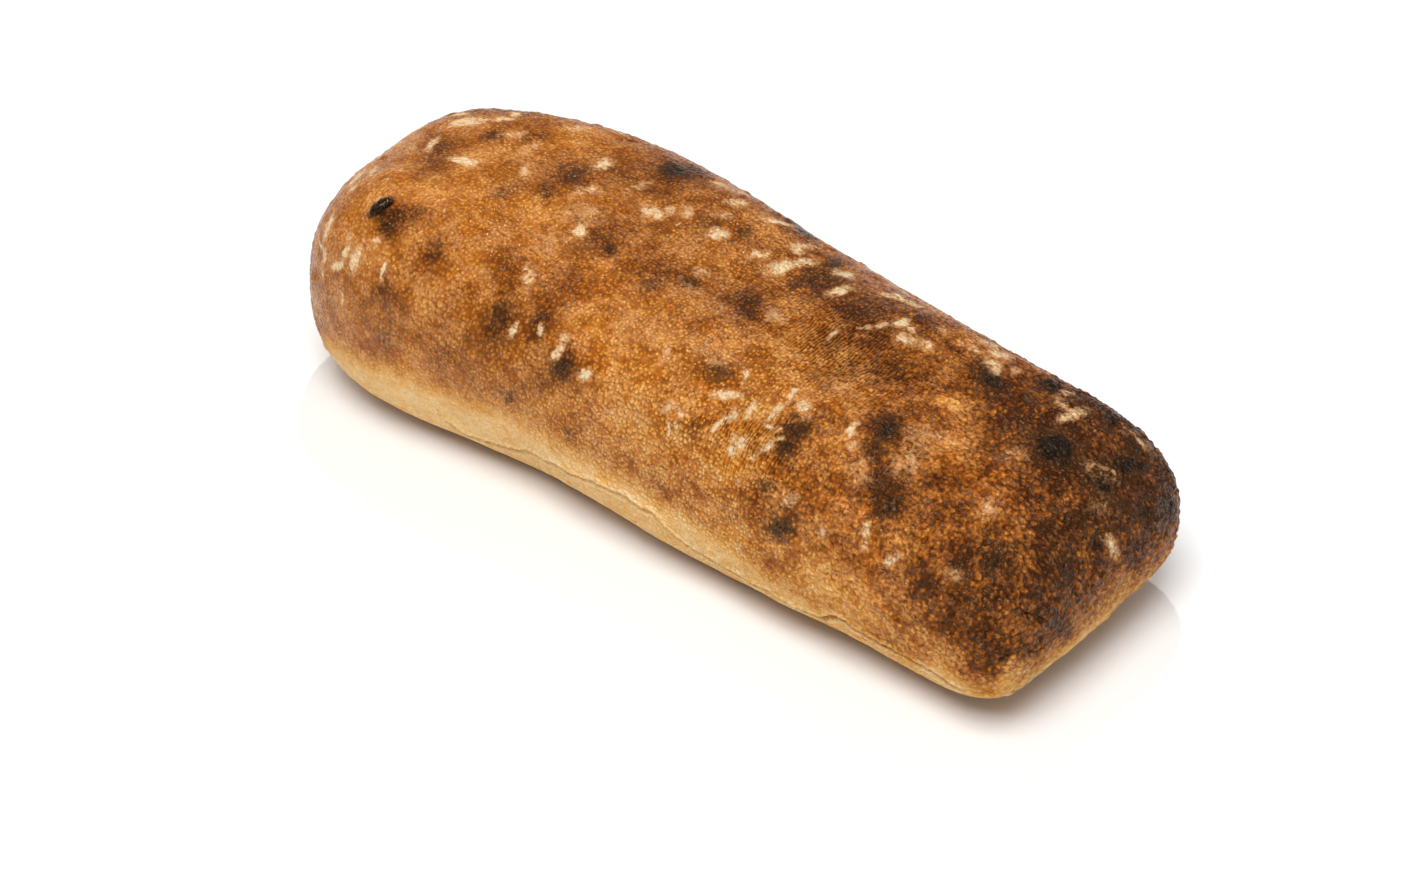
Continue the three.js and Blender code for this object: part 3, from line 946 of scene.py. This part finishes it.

# %% [markdown]
# ## Bake colour
# One ramp of colours goes from pale dough through gold and chestnut to nearly black, and the
# bake layer says where on it each place lies. Speckle shifts that value: patches, mottling,
# painted shade in the valleys between pebbles with lighter pebble tops, and the pale stretch
# lines. The pale rim is nearly even, and the speckle is strongest at the square end. Here and
# there syrup from the dough's sugar tints the crust golden.

# %% Speckle
film = add(
    MATHS,
    (
        add(FADE, (humps(7, detail=4), -0.08, 0.1, 0.0, 1.0), **SOFTLY),
        add(FADE, (humps(0.9), -0.2, 0.2, 0.0, 1.0), **SOFTLY),
    ),
    operation="MULTIPLY",
)
# Painted shade: the valleys between pebbles are darker and the pebble tops lighter.
painted_pebble_shade = add(MATHS, (0.6, pebbles), operation="SUBTRACT")
darkening = [
    (humps(4.5), 0.28), (humps(2.2), 0.40), (painted_pebble_shade, 0.34),
    (fine_grain, 0.06), (stretch_lines, -0.26), (film, -0.16),
]
speckle = weighed(darkening)
on_crust = add(
    MATHS,
    (
        add(FADE, (layers["bake"], 0.1, 0.4, 0.6, 1.0), **SOFTLY),
        add(FADE, (length_along, -110 * MM, 110 * MM, 0.65, 1.2), **SOFTLY),
    ),
    operation="MULTIPLY",
)
bake_value = weighed([(speckle, on_crust)], start=layers["bake"])
print("speckle made of", len(darkening), "patterns")

# %% The ramp from dough to dark crust
BAKE_COLOURS = [
    (0.00, "edcc96"), (0.14, "e3b370"), (0.28, "d3994e"), (0.42, "c17e31"),
    (0.56, "a45f1a"), (0.72, "7d430f"), (0.88, "572b0a"), (1.00, "381b07"),
]
SYRUP_TINT = "f5dca0"

baked = add("ShaderNodeValToRGB", [bake_value], "Color")
stops = baked.node.color_ramp.elements
for place, hex_colour in BAKE_COLOURS[1:-1]:
    stops.new(place).color = linear(hex_colour)
stops[0].color = linear(BAKE_COLOURS[0][1])
stops[-1].color = linear(BAKE_COLOURS[-1][1])

syrup = add(FADE, (humps(11), -0.04, 0.12, 0.0, 0.45), **SOFTLY)
syrup = add(MATHS, (syrup, on_crust), operation="MULTIPLY")
colour = add(
    MIX, {0: syrup, 6: baked, 7: linear(SYRUP_TINT)}, 2,
    data_type="RGBA", blend_type="MULTIPLY",
)
print("bake colours:", len(stops))

# %% [markdown]
# ## What lies on the bake
# Four things lie over the baked colour, each as a coat with its own colour and share, and
# painted glints lie with them. A thin tan film of dried flour and water clouds the less baked
# crust, and pale spots on the pebble tops there are painted glints. Burnt places turn brown
# first and black where they are strong. Flour lies tan where it is thin and whiter where it is
# thick. Brown crumb shows in the torn seam. The edges of burns and flour are torn by noise, so
# none of them stays an oval.

# %% Film and painted glints
TAN_FILM = "cf9c68"
PAINTED_GLINT = "f0cf9c"

coats = []
film_share = add(FADE, (layers["bake"], 0.45, 0.85, 0.46, 0.08), **SOFTLY)
coats.append((add(MATHS, (film, film_share), operation="MULTIPLY"), TAN_FILM))

# Painted glints: pale spots on the tops of pebbles that stand in for highlights.
painted_glints = add(
    MATHS,
    (
        add(FADE, (pebbles, 0.8, 1.0, 0.0, 1.0), **SOFTLY),
        add(FADE, (humps(6), 0.02, 0.14, 0.0, 1.0), **SOFTLY),
    ),
    operation="MULTIPLY",
)
painted_glint_share = add(FADE, (layers["bake"], 0.3, 0.8, 0.4, 0.1), **SOFTLY)
coats.append((add(MATHS, (painted_glints, painted_glint_share), operation="MULTIPLY"), PAINTED_GLINT))
print("coats:", len(coats))

# %% Burnt places
CHAR_BROWN = "3d220e"
CHAR_BLACK = "17100b"

between_pebbles = add(MATHS, (0.5, pebbles), operation="SUBTRACT")
burnt = weighed(
    [(humps(1.3), 0.6), (humps(3.0), 0.5), (between_pebbles, 0.3)], start=layers["char"]
)
coats.append((add(FADE, (burnt, 0.12, 0.75, 0.0, 0.82), **SOFTLY), CHAR_BROWN))
coats.append((add(FADE, (burnt, 0.68, 1.1, 0.0, 0.94), **SOFTLY), CHAR_BLACK))
print("coats:", len(coats))

# %% Flour, and the crumb in the seam
FLOUR_DUST = "ddc49c"
SEAM_BROWN = "a25a1c"
SEAM_SHARE = 0.95

scraps = weighed([(humps(1.1), 1.5), (humps(3.2), 1.0)])
any_flour = add(FADE, (layers["flour"], 0.02, 0.3, 0.0, 1.0), **SOFTLY)
dusted = weighed([(scraps, any_flour)], start=layers["flour"])
coats.append((add(FADE, (dusted, 0.08, 0.6, 0.0, 0.58), **SOFTLY), TAN_FILM))

flour_share = add(
    MATHS,
    (
        add(FADE, (dusted, 0.3, 0.95, 0.0, 0.85), **SOFTLY),
        add(FADE, (layers["flour"], 0.3, 0.6, 0.0, 1.0), **SOFTLY),
    ),
    operation="MULTIPLY",
)
coats.append((flour_share, FLOUR_DUST))
coats.append((add(MATHS, (layers["seam"], SEAM_SHARE), operation="MULTIPLY"), SEAM_BROWN))
print("coats:", len(coats))

# %% Lay the coats over the bake
for share, hex_colour in coats:
    colour = add(MIX, {0: share, 6: colour, 7: linear(hex_colour)}, 2, data_type="RGBA")
tree.links.new(colour, shader.inputs["Base Color"])
print("coats laid, nodes so far:", len(tree.nodes))

# %% [markdown]
# ## Gloss
# Browned film is starch and sugar set hard, so it is as glossy as eggshell paint or a little
# more. Pale dough and flour are matt, and so are the low walls, where steam from the stone
# kept the skin dull. The index is that of starch, and the shine of a porous film is weaker
# than a solid's and takes on its warm colour.

# %% Roughness and shine
STARCH_INDEX = 1.45
FILM_SHINE = 0.24
WARM_GLINT = "ffd9ac"
MATT_DOUGH = 0.5
GLOSSY_FILM = 0.17
MATT_WALL_FROM = 10 * MM
MATT_WALL_UP_TO = 34 * MM

gloss = add(FADE, (layers["bake"], 0.1, 0.45, MATT_DOUGH, GLOSSY_FILM), **SOFTLY)
low_wall = add(FADE, (height_above_base, MATT_WALL_FROM, MATT_WALL_UP_TO, 1.0, 0.0), **SOFTLY)
gloss = weighed([(pebbles, -0.05), (low_wall, 0.5), (flour_share, 0.45)], start=gloss)
tree.links.new(gloss, shader.inputs["Roughness"])
shader.inputs["IOR"].default_value = STARCH_INDEX
shader.inputs["Specular IOR Level"].default_value = FILM_SHINE
shader.inputs["Specular Tint"].default_value = linear(WARM_GLINT)
print("roughness from", GLOSSY_FILM, "up")

# %% [markdown]
# ## Relief too fine for the net
# Half-millimetre squares can't hold the edges of millimetre pebbles, so these are shaded in,
# with the stretch lines and a little grain. They fade on the pale rim, where the skin is
# smooth.

# %% Fine relief
PEBBLE_HEIGHT = 0.7 * MM

fine_relief = weighed([(fine_grain, 0.15), (pebbles, 1.0), (stretch_lines, 0.75)])
fine_relief = add(MATHS, (fine_relief, on_crust), operation="MULTIPLY")
bumped = add("ShaderNodeBump", {
    "Height": fine_relief, "Distance": PEBBLE_HEIGHT, "Strength": 1.0,
}, "Normal")
tree.links.new(bumped, shader.inputs["Normal"])
crust.data.materials.append(paint)
print("crust nodes:", len(tree.nodes))

# %% [markdown]
# ## Four lengths of crust
# The net holds more squares than one mesh should, so it is parted into four lengths, from
# the round end to the square end. Neighbours share their border points, and each keeps the
# shading directions of the whole net, so that no line shows where they meet.

# %% Where to cut: each length holds a quarter of the squares
LENGTHS = ("round_end", "far_middle", "near_middle", "square_end")
QUARTERS = (0.25, 0.5, 0.75)
BEYOND_ENDS = 1.0


def square_middles(mesh):
    flat = np.empty(3 * len(mesh.polygons))
    mesh.polygons.foreach_get("center", flat)
    return flat.reshape(-1, 3)


along_net = square_middles(crust.data)[:, 0]
cuts = [-BEYOND_ENDS, *np.quantile(along_net, QUARTERS), BEYOND_ENDS]
print("cuts, mm:", [round(cut / MM) for cut in cuts[1:-1]])

# %% Part the net
layer = crust.data.attributes.new("whole_facing", "FLOAT_VECTOR", "POINT")
layer.data.foreach_set("vector", moved_facing.ravel())


def one_length(name, low, high):
    """A copy of the net that keeps only the squares between two places along the loaf."""
    piece = bpy.data.objects.new("crust_" + name, crust.data.copy())
    bpy.context.scene.collection.objects.link(piece)
    mesh = bmesh.new()
    mesh.from_mesh(piece.data)
    outside = [square for square, x in zip(mesh.faces, along_net) if not low <= x < high]
    bmesh.ops.delete(mesh, geom=outside, context="FACES")
    mesh.to_mesh(piece.data)
    mesh.free()
    kept = np.empty(3 * len(piece.data.vertices))
    piece.data.attributes["whole_facing"].data.foreach_get("vector", kept)
    piece.data.normals_split_custom_set_from_vertices(kept.reshape(-1, 3))
    piece.data.attributes.remove(piece.data.attributes["whole_facing"])
    return piece


pieces = [one_length(*part) for part in zip(LENGTHS, cuts, cuts[1:])]
bpy.data.objects.remove(crust)
for piece in pieces:
    print(piece.name, len(piece.data.polygons), "squares")

# %% [markdown]
# ## Attach the skin
# The finished skin rides with the loaf and stands for the imported solid, which stays out of
# sight.

# %% Attach the skin and hide the solid
for piece in pieces:
    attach(piece, "root")
    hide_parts("loaf")
